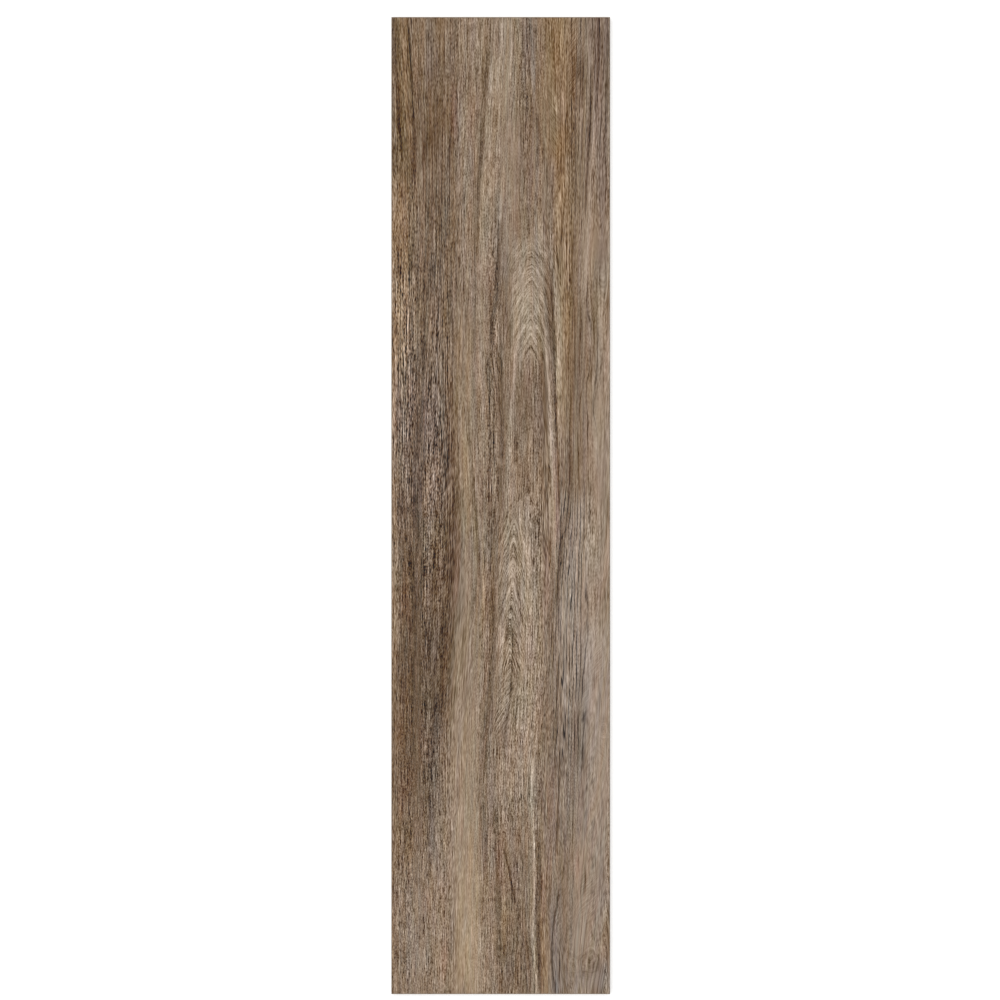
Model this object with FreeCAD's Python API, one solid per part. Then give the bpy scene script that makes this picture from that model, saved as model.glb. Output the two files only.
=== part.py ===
import FreeCAD
import Part
import math
import os

# Wood look porcelain plank tile: one pressed, fired and rectified slab.
# Frame: X across the plank, Y along it, Z up. The origin is the middle of the
# back, on the plane of the ribs, so the tile lies on Z = 0 with its face up.
# All lengths are in millimetres.

# The slab
tile_width = 201.0
tile_length = 898.0
tile_thickness = 9.5

# Ground arris round the walking face, at 45 degrees
micro_bevel = 0.6

# Keyed back: drafted pockets between ribs, inside a flat border
back_border = 7.5
rib_width = 3.0
pocket_pitch = 31.5
pocket_depth = 0.6
pocket_draft_deg = 45.0

# The pocket punch starts this far below the back, so that it cuts cleanly
punch_overrun = 0.5


def corners(width, length, z):
    """Corner points of a rectangle centred on the Z axis."""
    half_w = width / 2
    half_l = length / 2
    return [
        FreeCAD.Vector(-half_w, -half_l, z),
        FreeCAD.Vector(half_w, -half_l, z),
        FreeCAD.Vector(half_w, half_l, z),
        FreeCAD.Vector(-half_w, half_l, z),
    ]


def flat_face(points):
    """The flat face bounded by the given points."""
    return Part.Face(Part.makePolygon(points + points[:1]))


def make_slab():
    """The rectified blank, with the arris ground on its four face edges."""
    outline = flat_face(corners(tile_width, tile_length, 0))
    blank = outline.extrude(FreeCAD.Vector(0, 0, tile_thickness))
    face_edges = [
        edge
        for edge in blank.Edges
        if all(abs(v.Z - tile_thickness) < 1e-6 for v in edge.Vertexes)
    ]
    return blank.makeChamfer(micro_bevel, face_edges)


def pocket_count(side):
    """Even number of pockets along a side, so that a rib runs through the middle."""
    room = side - 2 * back_border + rib_width
    return 2 * max(1, round(room / pocket_pitch / 2))


def pocket_size(side, count):
    """Size of one pocket at the back's surface: what the border and ribs leave."""
    return (side - 2 * back_border - (count - 1) * rib_width) / count


def pocket_outline(width, length, z):
    """A pocket's corners at height z. Its drafted walls close in upwards."""
    drawn_in = z * math.tan(math.radians(pocket_draft_deg))
    return corners(width - 2 * drawn_in, length - 2 * drawn_in, z)


def make_punch(width, length):
    """The solid that presses one pocket, with four drafted flat walls."""
    mouth = pocket_outline(width, length, -punch_overrun)
    floor = pocket_outline(width, length, pocket_depth)
    faces = [flat_face(mouth), flat_face(floor)]
    for i in range(4):
        j = (i + 1) % 4
        faces.append(flat_face([mouth[i], mouth[j], floor[j], floor[i]]))
    return Part.Solid(Part.Shell(faces))


def make_back_pattern():
    """One punch for each pocket of the keyed back."""
    columns = pocket_count(tile_width)
    rows = pocket_count(tile_length)
    width = pocket_size(tile_width, columns)
    length = pocket_size(tile_length, rows)
    punch = make_punch(width, length)
    step_x = width + rib_width
    step_y = length + rib_width
    punches = []
    for column in range(columns):
        for row in range(rows):
            place = FreeCAD.Vector(
                (column - (columns - 1) / 2) * step_x,
                (row - (rows - 1) / 2) * step_y,
                0,
            )
            punches.append(punch.translated(place))
    print(f"back: {columns} x {rows} pockets of {width:.2f} x {length:.2f} mm")
    return Part.makeCompound(punches)


def make_plank_tile():
    """The whole tile: the slab with its back pattern pressed in."""
    return make_slab().cut(make_back_pattern())


def export(shape, node):
    """Writes one sub-part after checking that it is sound."""
    os.makedirs("parts", exist_ok=True)
    assert shape.isValid(), node
    assert len(shape.Solids) == 1, node
    shape.Solids[0].exportStep(f"parts/{node}.step")
    box = shape.BoundBox
    print(
        f"{node}: {box.XLength:.2f} x {box.YLength:.2f} x {box.ZLength:.2f} mm,"
        f" {shape.Volume / 1000:.1f} cm3, {len(shape.Faces)} faces"
    )


export(make_plank_tile(), "plank_tile")
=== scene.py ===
import math

import bpy
import numpy as np
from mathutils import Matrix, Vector


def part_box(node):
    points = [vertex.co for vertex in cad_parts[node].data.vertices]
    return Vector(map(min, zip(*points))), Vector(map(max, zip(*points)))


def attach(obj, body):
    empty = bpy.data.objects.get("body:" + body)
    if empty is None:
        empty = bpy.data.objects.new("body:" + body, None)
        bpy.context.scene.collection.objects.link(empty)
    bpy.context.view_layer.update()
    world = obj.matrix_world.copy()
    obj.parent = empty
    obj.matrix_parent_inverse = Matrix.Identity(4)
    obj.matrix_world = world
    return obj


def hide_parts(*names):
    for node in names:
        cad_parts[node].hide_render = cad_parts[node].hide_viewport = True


# Wood look porcelain plank tile, lying face up on a pale floor.
# The mesh is built in the tile's own frame: X across, Y along, Z up, in metres.
# The grain is drawn in plank millimetres: u from the left edge, v from the far end.

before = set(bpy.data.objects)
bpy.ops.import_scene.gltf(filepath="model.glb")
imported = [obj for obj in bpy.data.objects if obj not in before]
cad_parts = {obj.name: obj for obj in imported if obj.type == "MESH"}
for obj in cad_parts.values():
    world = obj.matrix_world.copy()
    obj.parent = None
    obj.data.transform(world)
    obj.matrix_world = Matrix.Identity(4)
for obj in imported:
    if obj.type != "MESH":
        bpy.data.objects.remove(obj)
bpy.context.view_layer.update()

MM = 0.001
NODE = "plank_tile"
low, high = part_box(NODE)
WIDTH = (high.x - low.x) / MM
LENGTH = (high.y - low.y) / MM
THICKNESS = (high.z - low.z) / MM

# The walking face: a fine grid that carries the pressed relief and the grain's fields
FACE_COLUMNS = 350
FACE_ROWS = 256
ARRIS = 0.6
RELIEF = 0.22

# The back: the same ribs and pockets as the solid, with their corners rounded.
# A corner's radius shrinks down the drafted wall, but not below the smallest.
BACK_BORDER = 7.5
RIB = 3.0
POCKET_COLUMNS = 6
POCKET_ROWS = 28
POCKET_DEPTH = 0.6
POCKET_LIP = 0.2
POCKET_CORNER = 3.0
SMALLEST_CORNER = 0.8
CORNER_STEPS = 3


# The grain


# The noise repeats after this many of its features
LATTICE = 64


def value_noise(u, v, wide, long, seed):
    """Smooth noise from -1 to 1, whose features are about wide across the plank and long along it."""
    lattice = np.random.default_rng(seed).uniform(-1, 1, (LATTICE, LATTICE))
    x, y = u / wide, v / long
    column, row = np.floor(x).astype(int), np.floor(y).astype(int)
    s, t = x - column, y - row
    s, t = s * s * (3 - 2 * s), t * t * (3 - 2 * t)

    def at(i, j):
        return lattice[(row + j) % LATTICE, (column + i) % LATTICE]

    near = at(0, 0) * (1 - s) + at(1, 0) * s
    far = at(0, 1) * (1 - s) + at(1, 1) * s
    return near * (1 - t) + far * t


# How far along the plank the corners of a path are smoothed, in millimetres
SMOOTHED = (-14, -7, 0, 7, 14)


def follow(path, v, values=None):
    """The path's u at every v, or the values given for its points, with the corners smoothed."""
    values, places = values or path[::2], path[1::2]
    return sum(np.interp(v + shift, places, values) for shift in SMOOTHED) / len(SMOOTHED)


# Lines that the fibres run along. The key is the line's grain coordinate.
# Here and below, a path is the u and v of its first point, then of its second point, and so on.
FLOW = {
    0: (0, 0, 0, 898),
    8: (5, 0, 8, 75, 10, 120, 10, 250, 8, 320, 9, 500, 8, 898),
    20: (15, 0, 18, 50, 21, 90, 24, 170, 22, 300, 20, 400, 19, 898),
    40: (38, 0, 38, 200, 34, 300, 30, 400, 29, 500, 26, 600, 30, 898),
    58: (58, 0, 56, 300, 58, 420, 60, 500, 55, 570, 49, 640, 50, 898),
    75: (75, 0, 73, 330, 77, 430, 78, 520, 75, 600, 70, 680, 72, 898),
    88: (92, 0, 92, 60, 85, 150, 84, 260, 87, 380, 86, 470, 83, 540, 80, 640, 78, 898),
    98: (104, 0, 101, 130, 98, 240, 92, 292, 95, 330, 99, 380, 98, 450, 93, 510,
         92, 590, 86, 660, 84, 780, 83, 898),
    110: (110, 0, 107, 200, 106, 400, 103, 470, 100, 560, 96, 640, 96, 780, 98, 898),
    128: (128, 0, 127, 400, 124, 470, 123, 600, 119, 680, 121, 780, 121, 898),
    141: (136, 0, 136, 230, 143, 330, 147, 400, 147, 500, 141, 590, 131, 690, 131, 760, 133, 898),
    152: (146, 0, 146, 210, 150, 300, 152, 370, 152, 470, 149, 560, 144, 680, 141, 898),
    166: (170, 0, 168, 150, 165, 300, 164, 420, 158, 500, 155, 600, 152, 720, 150, 898),
    180: (182, 0, 178, 150, 172, 300, 171, 430, 168, 540, 166, 660, 163, 780, 163, 898),
    190: (190, 0, 188, 75, 184, 150, 180, 260, 180, 430, 177, 560, 174, 680, 174, 898),
    201: (201, 0, 201, 898),
}


def flow_across(u, v):
    """The grain coordinate: constant along a fibre, in millimetres."""
    labels = np.array(sorted(FLOW), float)
    lines = np.array([follow(FLOW[label], v[:, 0]) for label in sorted(FLOW)])
    return np.array([np.interp(u[row], lines[:, row], labels) for row in range(len(u))])


# Knots that the fibres part around: u, v, half width, half length, how far they part
KNOTS = (
    (194, 240, 6.0, 20.0, 0.45),
    (180, 866, 12.0, 17.0, 0.4),
)


def part_around_knots(u, v, across):
    for knot_u, knot_v, half_width, half_length, parting in KNOTS:
        x, y = u - knot_u, (v - knot_v) * half_width / half_length
        pull = parting * half_width**2 / (x * x + y * y + half_width**2)
        across = across - x * pull * np.exp(-(x * x + y * y) / (4 * half_width) ** 2)
    return across


# How far the slopes of the streaks lean over, as a share of their width
OVERHANG = 0.3


def streaks(across, v, wide, long, seed):
    """Long strips from -1 to 1 along the fibres. Their slopes lean over, so one side of each is crisp."""
    shove = value_noise(across, v, wide, long, seed)
    return value_noise(across + OVERHANG * wide * shove, v, wide, long, seed)


# Cathedral figures: centre line, half width, v of the apex, v of the foot, how steep the arches' legs are
FIGURES = (
    ((127, 195, 128, 230, 128, 320), 21.0, 205, 322, 1.15),
    ((113, 450, 111, 500, 110, 560, 108, 640), 17.0, 455, 615, 1.8),
)

# Curls where a knot shows through: u, v, half width, half length
WHORLS = (
    (182, 867, 11.0, 15.0),
    (167, 872, 5.5, 9.0),
    (195, 656, 6.0, 12.0),
)

# One millimetre along the plank, or out from a knot, counts for this much of the rings' own spacing
RING_STEP = 0.3
WHORL_STEP = 0.55

# Where each figure's and each curl's rings are counted from, so that the figures differ
FIGURE_START, FIGURE_GAP, WHORL_START = 300, 90, 600

# An arch falls away from its tip as this power of the distance aside, and the tip is rounded off
LEG_POWER = 0.61
TIP_ROUNDING = 0.4

# How strongly a curl shows, and how suddenly figures and curls end at their sides
WHORL_STRENGTH = 0.9
SUDDEN = 4


def cathedral(u, v):
    """The arches' own lines, as ring and distance along it, and how strongly they show."""
    across, along, weight = np.zeros_like(u), v.copy(), np.zeros_like(u)

    def lay(here, ring, distance):
        """Puts these lines where they show more strongly than those laid before."""
        nonlocal across, along, weight
        across = np.where(here > weight, ring, across)
        along = np.where(here > weight, distance, along)
        weight = np.maximum(weight, here)

    for number, (centre, half_width, apex, foot, steep) in enumerate(FIGURES):
        x = u - follow(centre, v) + 1.6 * value_noise(u, v, 12, 40, 40 + number)
        wobble = 2.4 * value_noise(u, v, 4, 22, 50 + number)
        fallen = v - apex - steep * (x * x + TIP_ROUNDING) ** LEG_POWER - wobble
        # it comes up at the apex, and fades out before the foot
        length = ramp(v, apex - 8, apex + 14) * (1 - ramp(v, foot - 22, foot + 8))
        here = length * np.exp(-((np.abs(x) / half_width) ** SUDDEN))
        lay(here, FIGURE_START + FIGURE_GAP * number + RING_STEP * fallen, v + np.abs(x))
    for knot_u, knot_v, half_width, half_length in WHORLS:
        x, y = u - knot_u, (v - knot_v) * half_width / half_length
        apart = np.hypot(x, y) + 2.2 * value_noise(u, v, 5, 6, 60)
        here = WHORL_STRENGTH * np.exp(-((apart / half_width) ** SUDDEN))
        lay(here, WHORL_START + WHORL_STEP * apart, 10 * np.abs(np.arctan2(x, -y)))
    return across, along, weight


# Where the fibres lean besides: (path, half width, lean, crispness)
LEAN_BANDS = (
    ((172, 0, 170, 75), 9, -0.5, 3),
    ((148, 60, 151, 130), 7, 0.4, 3),
    ((50, 430, 45, 540, 38, 660), 10, -0.22),
    ((12, 430, 18, 560), 8, 0.2),
    ((110, 600, 97, 660), 9, -0.7),
    ((112, 755, 108, 775), 7, -0.7),
    ((191, 575, 189, 610), 7, -0.45),
    ((193, 640, 193, 690), 6, 0.3),
    ((178, 610, 172, 650), 7, -0.4),
    ((157, 785, 152, 850), 8, -0.5),
    ((182, 785, 176, 830), 11, -0.5, 3),
)


def ramp(value, start, end):
    """Rises smoothly from 0 at start to 1 at end."""
    t = np.clip((value - start) / (end - start), 0, 1)
    return t * t * (3 - 2 * t)


# What is printed: (path, half width, strength, crispness of the sides).
# The strength is one number, or one for each point of the path. A band with no crispness has soft sides.
SOFT = 2

TONE_BANDS = (
    # the dark left third and the pale bands beside it
    ((30, 0, 30, 100, 29, 180, 27, 300, 31, 400, 32, 520, 25, 620, 22, 700, 22, 780, 24, 850,
      26, 898), 28, (-8, -20, -15, -20, -29, -37, -39, -28, -6, 5, 2), 6),
    ((183, 0, 183, 180), 20, -6, 4),
    ((171, 440, 167, 640), 18, 19, 5),
    ((132, 192, 124, 212, 115, 236, 113, 252), 4.5, 10),
    ((134, 192, 141, 214, 150, 245, 153, 300, 154, 345), 4, (10, 12, 14, 10, 8)),
    ((105, 240, 106, 310), 6, -13, 3),
    ((97, 315, 97, 450), 4.5, -6, 3),
    ((192, 490, 192, 600), 10, 6, 3),
    ((122, 330, 122, 440), 20, -5, 4),
    ((93, 110, 92, 225), 11, (4, 2), 3),
    ((128, 0, 128, 140), 18, -6, 4),
    ((5, 0, 8, 75, 10, 130), 4, (-12, -14, -6)),
    ((12, 0, 13, 60, 16, 130), 2.4, 8),
    ((34, 105, 34, 128), 9, -13),
    ((56, 88, 54, 135), 3.2, -15),
    ((57, 0, 56, 65), 5, -8, 3),
    ((9, 150, 10, 250, 9, 335), 7, (2, 13, 11), 3),
    ((18, 215, 19, 240), 3.4, -14),
    ((45, 225, 47, 300), 3, 8),
    ((2, 315, 3, 390), 3.5, 14),
    ((12, 385, 20, 420, 16, 460), 8, -7),
    ((54, 425, 52, 480, 50, 555), 6, (-3, -5, -3), 3),
    ((26, 450, 27, 530, 24, 580), 2, 7),
    ((20, 500, 19, 600, 19, 700, 19, 790), 3.5, (-8, -8, -6, -10)),
    ((3, 450, 3, 600, 4, 740), 4, (6, 9, 2)),
    ((35, 770, 36, 850), 2.4, 9),
    ((70, 470, 71, 600, 68, 690, 70, 800, 73, 860, 71, 898), 13, (0, 9, 13, 22, 28, 17), 4),
    ((76, 640, 74, 700), 4, 5),
    ((92, 30, 92, 75, 89, 115, 87, 160, 85, 260, 84, 345, 83, 400), 5, (2, 8, 5, 4, 7, 8, 3), 3),
    ((94, 110, 93, 160, 91, 235), 9, (5, 6, 5), 3),
    ((105, -5, 103, 60, 106, 130), 12, (17, 14, 8), 3),
    ((88, 15, 86, 60, 83, 105, 80, 185), 3, (-2, -10, -16, -4)),
    ((97, 310, 99, 345, 101, 380, 99, 430, 97, 465, 94, 500, 92, 560, 91, 600, 87, 640, 85, 700,
      88, 765), 4, (-10, -21, -19, -17, -18, -13, -14, -12, -8, -6, -9), 3),
    ((107, 215, 108, 290), 4.5, (-3, -8)),
    ((88, 318, 89, 370), 1.8, -9),
    ((88, 410, 87, 445), 2, -8),
    ((77, 365, 80, 400), 2, -9),
    ((113, 325, 111, 360, 107, 445), 3.4, (4, 6, 12)),
    ((98, 735, 98, 790, 99, 860, 99, 898), 3.2, (-5, -10, -9, -8), 3),
    ((117, 730, 116, 800, 117, 850, 115, 898), 12, (-3, -4, -12, -13), 4),
    # the pale ground of the two figures
    ((130, 200, 125, 250, 124, 300, 123, 320), 14, (14, 28, 28, 8), 3),
    ((138, 300, 138, 340, 141, 385), 3.5, (-8, -13, -8)),
    ((128, 330, 126, 380), 9, -5),
    ((117, 335, 115, 365, 113, 400), 2.4, -9),
    ((112, 448, 116, 490, 117, 540, 116, 600, 118, 700), 18, (8, 17, 17, 14, 12), 5),
    ((124, 480, 127, 515), 4, 7),
    ((130, 460, 131, 545), 4, -8, 3),
    ((100, 555, 101, 585), 3.4, 14),
    ((106, 558, 108, 575), 1.8, -16),
    ((112, 570, 111, 628), 1.8, (-14, -16)),
    ((104, 645, 103, 668), 3, -13),
    ((101, 690, 103, 730, 110, 765), 2.5, (8, 10, 12)),
    ((122, 752, 122, 775), 5, -9),
    # the streaks right of the middle
    ((140, 545, 138, 600, 133, 650, 129, 700, 129, 722, 131, 755, 132, 810, 132, 865, 133, 898),
     2.4, (4, 4, 4, 4, 4, 6, 6, 4, 4), 3),
    ((142, 300, 144, 340, 147, 390, 149, 450, 150, 515), 2.8, (8, 13, 13, 8, 3)),
    ((149, 190, 155, 240, 157, 330, 157, 425), 5, (6, 8, 8, 8), 3),
    ((143, 0, 143, 35), 1.6, -16),
    ((149, 45, 149, 62), 2, -12),
    ((142, 105, 143, 130), 2.2, 9),
    ((137, 100, 138, 140), 2.2, -8),
    ((164, 30, 167, 110, 165, 185), 5, (-8, -14, -5), 3),
    ((169, 35, 175, 62), 6, -10),
    ((168, 205, 166, 250, 164, 300, 164, 370, 164, 430, 161, 475, 156, 515, 154, 545),
     3, (-10, -16, -15, -11, -15, -16, -12, -6)),
    ((174, 85, 174, 120), 2.4, 10),
    ((188, 50, 187, 100, 184, 150, 181, 205, 178, 235, 176, 262), 2.6, (9, 15, 15, 18, 20, 12)),
    ((197, 225, 196, 300, 192, 370, 193, 440, 196, 520), 7.5, (15, 17, 20, 14, 14), 3),
    ((180, 245, 181, 262), 3, -9),
    ((144, 455, 146, 505), 3.5, -9),
    ((148, 800, 147, 850, 149, 898), 2.6, (-4, -9, -8)),
    ((152, 735, 152, 768), 2, -11),
    ((192, 545, 192, 640, 191, 700, 188, 780, 188, 898), 11, (14, 19, 21, 14, 14), 5),
    ((174, 695, 172, 800, 171, 898), 9, (4, 13, 14), 3),
    ((177, 604, 170, 632), 6, -17),
    ((172, 635, 171, 695), 2, -15),
    ((166, 610, 163, 665, 156, 690), 2.6, -7),
    ((183, 862, 184, 885), 8, -9),
)

WARM_BANDS = (
    ((9, 0, 11, 60, 12, 120, 8, 175, 8, 230, 8, 320), 8, (0.7, 0.9, 0.8, 0.8, 0.8, 0.6), 3),
    ((45, 0, 46, 45), 3, 0.6),
    ((34, 0, 35, 60), 4, -0.35),
    ((151, 0, 152, 60, 155, 130), 17, (0.85, 0.8, 0.6), 4),
    ((38, 0, 38, 300), 22, 0.25, 4),
    ((98, 0, 98, 200), 24, 0.12, 4),
    ((156, 100, 159, 180, 161, 250, 161, 330, 158, 380), 9, (0.5, 0.9, 0.9, 0.7, 0.3), 3),
    ((192, 0, 192, 100, 192, 170), 9, (-0.5, -0.4, -0.2), 3),
    ((128, 0, 128, 60), 4.5, -0.6),
    ((50, 110, 44, 170, 40, 240, 39, 330, 35, 400), 8, (-0.35, -0.3, -0.5, -0.5, -0.3)),
    ((28, 350, 24, 400, 28, 460), 24, (-0.15, -0.25, -0.1), 3),
    ((62, 285, 63, 350, 65, 420, 66, 470), 9, (0.2, 0.4, 0.5, 0.3)),
    ((104, 160, 105, 240), 7, -0.45),
    ((138, 205, 136, 240), 8, -0.3),
    ((2.5, 180, 3, 898), 3, 0.35),
    ((12, 505, 13, 550), 6, 0.5),
    ((14, 600, 15, 780), 10, 0.35),
    ((39, 540, 38, 640, 38, 780), 5.5, (-0.3, -0.7, -0.45)),
    ((84, 500, 84, 600), 5, 0.35),
    ((66, 560, 68, 700, 72, 800, 75, 840, 66, 898), 13, (0.1, 0.2, 0.5, 0.6, 0.5), 3),
    ((104, 775, 104, 860), 2.6, 0.6),
    ((92, 680, 90, 775), 5, -0.35),
    ((148, 440, 147, 510), 3.5, 0.4),
    ((165, 440, 166, 540, 168, 620, 166, 700, 158, 760), 17, (-0.3, -0.5, -0.5, -0.45, -0.35), 3),
    ((152, 800, 151, 840, 152, 898), 5, (-0.3, -1, -1)),
    ((140, 785, 141, 898), 3.6, (0.5, 1.1)),
    ((176, 765, 173, 790), 5, 0.35),
    ((20, 830, 18, 875), 9, -0.3),
    ((192, 560, 186, 720, 182, 898), 18, -0.3, 4),
    ((196, 868, 197, 898), 8, (-0.4, -0.7), 3),
    ((165, 880, 165, 898), 30, -0.35, 3),
    ((48, 850, 49, 880), 4, 0.4),
)

ROSE_BANDS = (
    ((192, 0, 190, 220), 9, 0.4, 3),
    ((126, 205, 127, 310), 16, -0.45, 4),
    ((92, 30, 90, 120, 86, 225), 8, -0.3, 3),
    ((110, 0, 108, 100), 9, -0.5, 3),
    ((128, 680, 130, 760, 131, 898), 3, -0.6),
    ((72, 690, 70, 898), 12, -0.4, 3),
    ((104, 800, 104, 840), 4, -0.6),
    ((15, 0, 16, 8), 5, 0.9),
    ((59, 60, 58, 105), 3, 1.2),
    ((74, 70, 73, 108), 6, 0.4),
    ((127, 100, 131, 175), 5, 0.5),
    ((68, 330, 68, 470), 9, -0.4, 3),
    ((8, 0, 9, 150), 9, -0.5, 3),
    ((146, 0, 148, 120), 8, -0.3, 3),
    ((116, 460, 116, 640), 16, -0.35, 4),
    ((28, 330, 30, 460), 26, 0.4, 4),
    ((154, 215, 155, 360), 6, -0.5, 3),
    ((4, 355, 4, 375), 4, 0.6),
    ((126, 325, 128, 345), 6, 0.5),
    ((151, 395, 152, 480), 2.6, 1.2),
    ((60, 455, 60, 530), 2.6, 0.7),
    ((72, 450, 70, 680), 12, -0.3, 4),
    ((143, 480, 143, 545), 3, 0.9),
    ((128, 545, 128, 600), 5, 0.3),
    ((11, 535, 12, 560), 5, 0.7),
    ((12, 690, 10, 730), 6, 0.5),
    ((64, 690, 64, 755), 2.4, 0.5),
    ((147, 685, 147, 780), 3.4, 0.8),
    ((99, 750, 103, 800), 3.4, 0.8),
    ((171, 775, 171, 795), 3, 0.9),
    ((34, 805, 34, 825), 3, 0.7),
    ((49, 852, 48, 878), 3.5, 0.9),
    ((141, 780, 140, 825), 3, 0.9),
)

# Thin lines: (path, half width, tone), and how much stronger than that tone they are printed
LINE_STRENGTH = 1.8
LINES = (
    ((1, 0, 1, 160), 0.8, -18),
    ((6, 75, 10, 132), 0.8, -18),
    ((48, 18, 48, 50), 0.8, -14),
    ((61, 15, 62, 45), 0.8, -16),
    ((57, 92, 50, 138), 0.8, -14),
    ((176, 40, 176, 72), 1, -20),
    ((186, 0, 187, 45), 0.7, -12),
    ((198, 10, 198, 150), 0.7, -10),
    ((166, 185, 166, 300), 0.8, -10),
    ((187, 130, 186, 200), 0.7, -12),
    ((79, 150, 80, 265), 0.7, -9),
    ((77, 200, 77, 300), 0.7, -9),
    ((147, 228, 147, 322), 0.9, -5),
    ((92, 338, 92, 378), 0.7, 18),
    ((92, 413, 91, 432), 0.7, 14),
    ((57, 378, 57, 460), 1.1, -8),
    ((153, 308, 153, 372), 0.7, 14),
    ((148, 560, 148, 580), 0.9, -14),
    ((92, 528, 94, 560), 1, -16),
    ((85, 640, 86, 700), 0.9, -10),
    ((84, 800, 83, 850), 0.8, -10),
    ((83, 770, 84, 806), 0.7, 16),
    ((82, 835, 81, 858), 0.7, 16),
    ((88, 748, 86, 790), 1, -16),
    ((127, 632, 124, 660), 0.7, 14),
    ((132, 660, 129, 700), 0.7, 14),
    ((121, 700, 120, 760), 0.6, 10),
    ((136, 835, 135, 898), 1, -16),
    ((150, 640, 148, 670), 0.8, -14),
    ((179, 785, 178, 805), 0.8, -16),
)

# How strongly the fine grain shows: (path, half width, change, crispness)
BITE_BANDS = (
    ((12, 160, 14, 300, 18, 450, 20, 560), 18, (0.2, 0.85, 0.7, 0.25)),
    ((9, 250, 9, 325), 8, 0.8),
    ((24, 350, 10, 385), 8, 0.7),
    ((45, 360, 45, 430, 36, 510), 9, 0.35),
    ((20, 620, 18, 800, 16, 880), 10, (0.1, 0.55, 0.4)),
    ((35, 625, 45, 700), 7, 0.2),
    ((68, 270, 68, 400, 68, 700, 66, 898), 11, (-0.35, -0.3, -0.45, -0.55), 4),
    ((92, 180, 96, 260, 91, 330, 90, 440), 5, (0.1, 0.6, 0.4, 0.2)),
    ((112, 470, 113, 560, 108, 620, 96, 655), 12, (0.1, 0.25, 0.3, 0.3)),
    ((149, 310, 150, 400), 5, 0.5),
    ((186, 200, 184, 340, 182, 450), 18, -0.3, 4),
    ((192, 190, 192, 340), 9, -0.3, 3),
    ((190, 340, 192, 440, 194, 500), 9, -0.5),
    ((168, 260, 168, 440, 165, 650), 16, (-0.2, -0.2, -0.1), 3),
    ((193, 500, 191, 640, 184, 720, 180, 800, 178, 898), 21, (-0.45, -0.6, -0.58, -0.58, -0.5), 5),
    ((152, 0, 153, 180), 14, -0.3, 3),
    ((190, 0, 186, 230), 14, -0.3, 4),
    ((98, 0, 98, 200, 108, 380), 30, (-0.3, -0.3, -0.2), 4),
    ((40, 0, 38, 150), 14, -0.25),
    ((122, 330, 122, 440), 20, -0.2, 4),
    ((112, 760, 112, 898), 20, -0.2, 4),
    ((25, 280, 28, 440), 28, 0.22, 4),
    ((114, 90, 115, 200), 6, -0.35),
    ((140, 60, 136, 110), 8, -0.2),
    ((124, 0, 125, 90), 7, 0.2),
    ((145, 840, 144, 898), 5, -0.3),
    ((122, 700, 123, 735), 8, 0.25),
)


# Inks of the strips, as steps of 8-bit lightness from the ground round them
CRACK = -62
DEEP = -46
LINE = -36
DARK = -18
DUSK = -9
PALE = 9
SAND = 15
CREAM = 28
CHALK = 50

# The crisp side of a strip, where only one is
LEFT, RIGHT = -1, 1

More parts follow.
